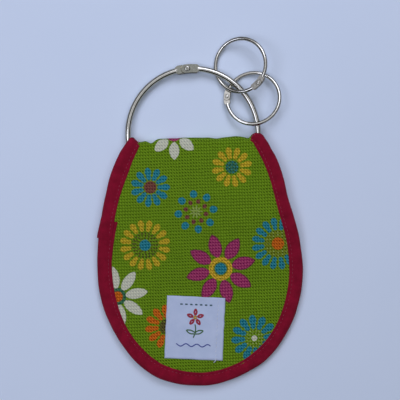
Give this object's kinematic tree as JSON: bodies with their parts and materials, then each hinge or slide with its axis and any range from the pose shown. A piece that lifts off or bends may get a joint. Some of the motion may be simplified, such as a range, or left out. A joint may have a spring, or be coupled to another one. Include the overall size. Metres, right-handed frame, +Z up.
{
  "type": "wristlet keychain",
  "caption": "Padded fabric cover folded over a hinged wrist ring that opens, with hinged key rings hanging on the ring.",
  "frame": {"origin": "centre of the footprint, on the surface that the keychain lies on", "axes": "+Z up from the surface, +Y from the cover's round bottom towards the wrist ring's hinge, +X towards the key rings' side"},
  "size_m": [0.1248, 0.2112, 0.0146],
  "materials": {
    "printed_canvas": "woven, lime green with printed flowers",
    "batting": "soft needled",
    "lining_cloth": "woven",
    "binding_tape": "woven, folded",
    "seam_thread": "twisted",
    "label_satin": "smooth woven",
    "label_thread": "twisted",
    "nickel_wire": "bright nickel plate"
  },
  "bodies": {
    "cover_back": {"outer_fabric_back": "printed_canvas", "padding_back": "batting", "lining_back": "lining_cloth", "binding_back": "binding_tape", "binding_stitches_back": "seam_thread"},
    "cover_front": {"outer_fabric_front": "printed_canvas", "padding_front": "batting", "lining_front": "lining_cloth", "binding_front": "binding_tape", "binding_stitches_front": "seam_thread", "label": "label_satin", "label_stitches": "label_thread"},
    "wrist_ring": {"wrist_ring_fixed_half": "nickel_wire", "wrist_ring_rivet": "nickel_wire"},
    "wrist_gate": {"wrist_ring_gate_half": "nickel_wire"},
    "upper_key_ring": {"upper_key_ring_fixed_half": "nickel_wire", "upper_key_ring_rivet": "nickel_wire"},
    "upper_key_gate": {"upper_key_ring_gate_half": "nickel_wire"},
    "lower_key_ring": {"lower_key_ring_fixed_half": "nickel_wire", "lower_key_ring_rivet": "nickel_wire"},
    "lower_key_gate": {"lower_key_ring_gate_half": "nickel_wire"}
  },
  "joints": [
    {"name": "cover_opens", "type": "hinge", "parent": "cover_back", "child": "cover_front", "pos_m": [0, 0.0411, 0.0089], "axis": [-1, 0, 0], "range_deg": [0, 120]},
    {"name": "wrist_ring_turns", "type": "hinge", "parent": "cover_back", "child": "wrist_ring", "pos_m": [-0.0018, 0.0477, 0.00445], "axis": [0, 0, 1], "range_deg": [-2, 70]},
    {"name": "wrist_gate_opens", "type": "hinge", "parent": "wrist_ring", "child": "wrist_gate", "pos_m": [-0.00409, 0.08738, 0.00445], "axis": [0, 0, 1], "range_deg": [0, 55]},
    {"name": "upper_key_ring_slides", "type": "hinge", "parent": "wrist_gate", "child": "upper_key_ring", "pos_m": [-0.0018, 0.0477, 0.00445], "axis": [0, 0, 1], "range_deg": [-4, 10]},
    {"name": "upper_key_gate_opens", "type": "hinge", "parent": "upper_key_ring", "child": "upper_key_gate", "pos_m": [0.03863, 0.07665, 0.01162], "axis": [0.3793, -0.0046, -0.9252], "range_deg": [0, 55]},
    {"name": "lower_key_ring_slides", "type": "hinge", "parent": "wrist_gate", "child": "lower_key_ring", "pos_m": [-0.0018, 0.0477, 0.00445], "axis": [0, 0, 1], "range_deg": [-4, 10]},
    {"name": "lower_key_gate_opens", "type": "hinge", "parent": "lower_key_ring", "child": "lower_key_gate", "pos_m": [0.01975, 0.06974, 0.00239], "axis": [0.143, -0.1838, -0.9725], "range_deg": [0, 16]}
  ],
  "couplings": [
    {"joint": "lower_key_ring_slides", "follows": "upper_key_ring_slides", "ratio": 1}
  ]
}
